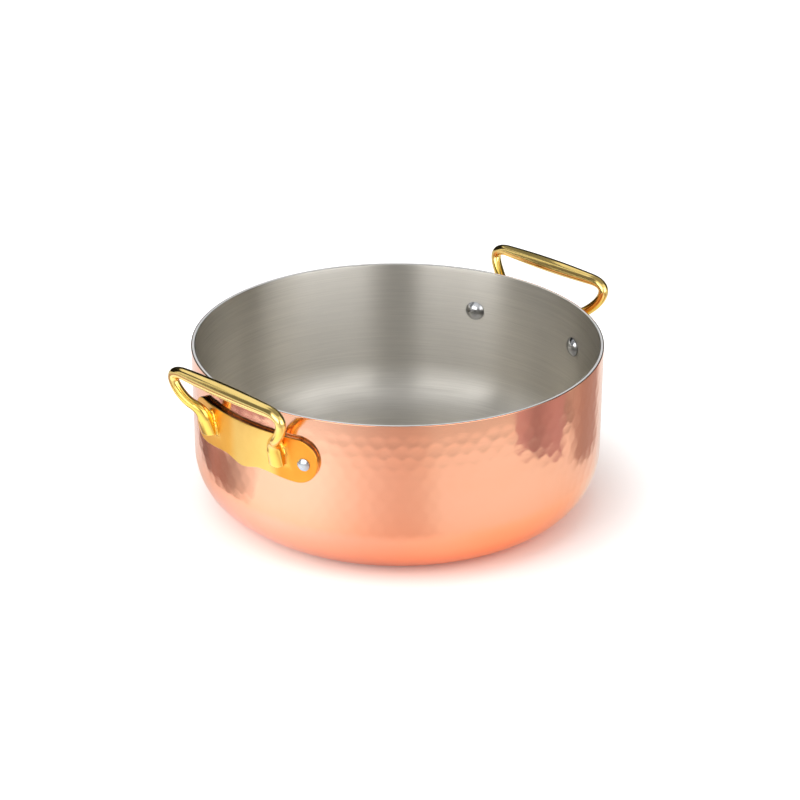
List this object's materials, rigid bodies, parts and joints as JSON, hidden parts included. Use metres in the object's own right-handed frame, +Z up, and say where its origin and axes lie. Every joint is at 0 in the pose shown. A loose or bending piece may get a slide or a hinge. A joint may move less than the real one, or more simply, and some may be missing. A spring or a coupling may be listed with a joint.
{
  "type": "casserole pot",
  "caption": "Low round casserole pot with a hammered copper outside, a brushed steel inside and riveted cast brass bail handles that stand above the rim.",
  "frame": {"origin": "middle of the pot's flat base, on the surface that it stands on", "axes": "+Z up, +X through both handles towards the right one, -Y is the side called front"},
  "size_m": [0.2764, 0.24, 0.1122],
  "materials": {
    "copper": "polished copper with light hammer marks",
    "core": "cut edge, satin",
    "lining": "brushed round the pot",
    "handle_brass": "cast and polished",
    "rivet_steel": "polished"
  },
  "bodies": {
    "root": {"copper_shell": "copper", "aluminium_core": "core", "steel_lining": "lining", "left_handle": "handle_brass", "right_handle": "handle_brass", "left_handle_front_rivet": "rivet_steel", "left_handle_back_rivet": "rivet_steel", "right_handle_front_rivet": "rivet_steel", "right_handle_back_rivet": "rivet_steel"}
  },
  "joints": []
}
